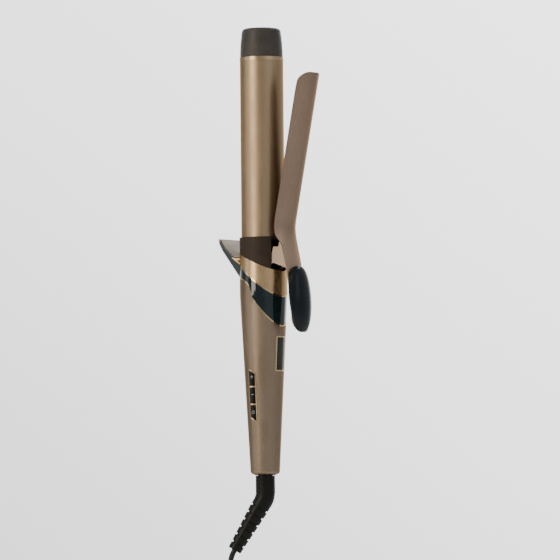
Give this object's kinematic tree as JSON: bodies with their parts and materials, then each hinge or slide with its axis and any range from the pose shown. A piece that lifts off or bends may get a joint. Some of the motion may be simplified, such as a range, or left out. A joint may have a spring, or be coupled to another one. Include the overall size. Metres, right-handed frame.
{
  "type": "curling iron",
  "caption": "Hair curling iron: round barrel with cool tip, sprung clip with thumb pad, tapered handle with fixed stand edge, side buttons, display window and swivel mains cord.",
  "frame": {"origin": "middle of the grip on the barrel's axis, where a hand holds the handle, 100 mm above the handle's end", "axes": "+Z along the barrel's axis towards the cool tip, +X towards the clip and its thumb pad, +Y completes the right-handed frame"},
  "size_m": [0.0895, 0.0436, 0.5987],
  "materials": {
    "barrel": "satin champagne bronze coating",
    "barrel_trim": "fine brushed",
    "tip_plastic": "fine matte",
    "collar_plastic": "matte heat-resistant",
    "handle_metallic": "satin metallic champagne paint",
    "trim_gold": "polished",
    "band_gloss": "piano gloss",
    "stand_face": "satin",
    "window": "gloss",
    "button_gloss": "gloss",
    "clip_metal": "satin taupe coating",
    "pad_rubber": "semi-gloss heat-resistant",
    "cord_rubber": "smooth",
    "sleeve_rubber": "fine matte",
    "tie_fabric": "woven",
    "steel": "plain",
    "spring_steel": "drawn",
    "heater_aluminium": "extruded",
    "ceramic": "sintered",
    "lead_wire": "silicone",
    "board": "solder mask",
    "switch_plastic": "plain",
    "contact_brass": "plain",
    "pin_brass": "polished",
    "screw_steel": "blackened"
  },
  "bodies": {
    "handle": {"barrel_tube": "barrel", "barrel_trim_ring": "barrel_trim", "cool_tip": "tip_plastic", "tip_core": "ceramic", "heat_spreader_front": "heater_aluminium", "heat_spreader_rear": "heater_aluminium", "ptc_heaters": "ceramic", "thermistor": "ceramic", "thermal_fuse": "ceramic", "heater_leads": "lead_wire", "base_collar": "collar_plastic", "ferrule": "handle_metallic", "band_trim": "trim_gold", "gloss_band": "band_gloss", "band_edge_trim": "trim_gold", "front_shell": "handle_metallic", "rear_shell": "handle_metallic", "stand_plate": "stand_face", "shell_screws": "screw_steel", "display_window": "window", "window_frame": "trim_gold", "display_module": "board", "control_bezel": "trim_gold", "control_board": "board", "tact_switches": "switch_plastic", "hinge_bracket": "steel", "bracket_screws": "screw_steel", "hinge_pin": "steel", "torsion_spring": "spring_steel", "swivel_housing": "collar_plastic", "contact_brushes": "contact_brass"},
    "clip": {"clip_plate": "clip_metal", "clip_ears": "clip_metal", "thumb_pad": "pad_rubber", "pad_rivets": "steel"},
    "power_key": {"power_button": "button_gloss"},
    "minus_key": {"minus_button": "button_gloss"},
    "plus_key": {"plus_button": "button_gloss"},
    "cord_swivel": {"swivel_stem": "sleeve_rubber", "slip_rings": "contact_brass", "strain_relief": "sleeve_rubber", "power_cord": "cord_rubber", "cord_hank": "cord_rubber", "cord_tie": "tie_fabric", "cord_tail": "cord_rubber", "plug_body": "cord_rubber", "plug_pins": "pin_brass"}
  },
  "joints": [
    {"name": "clip_hinge", "type": "hinge", "parent": "handle", "child": "clip", "pos_m": [0.0085, 0, 0.0434], "axis": [0, 1, 0], "range_deg": [-11.6, 14], "stiffness_Nm_per_rad": 0.25, "springref_deg": -31.51, "deforming": ["torsion_spring"]},
    {"name": "power_press", "type": "slide", "parent": "handle", "child": "power_key", "axis": [0.0697, 0.9963, 0.0507], "range_m": [0, 0.0006], "stiffness_N_per_m": 900, "springref_m": -0.0002},
    {"name": "minus_press", "type": "slide", "parent": "handle", "child": "minus_key", "axis": [0.0697, 0.9963, 0.0507], "range_m": [0, 0.0006], "stiffness_N_per_m": 900, "springref_m": -0.0002},
    {"name": "plus_press", "type": "slide", "parent": "handle", "child": "plus_key", "axis": [0.0697, 0.9963, 0.0507], "range_m": [0, 0.0006], "stiffness_N_per_m": 900, "springref_m": -0.0002},
    {"name": "cord_turn", "type": "hinge", "parent": "handle", "child": "cord_swivel", "pos_m": [0, 0, -0.1], "axis": [0, 0, 1], "continuous": true}
  ]
}
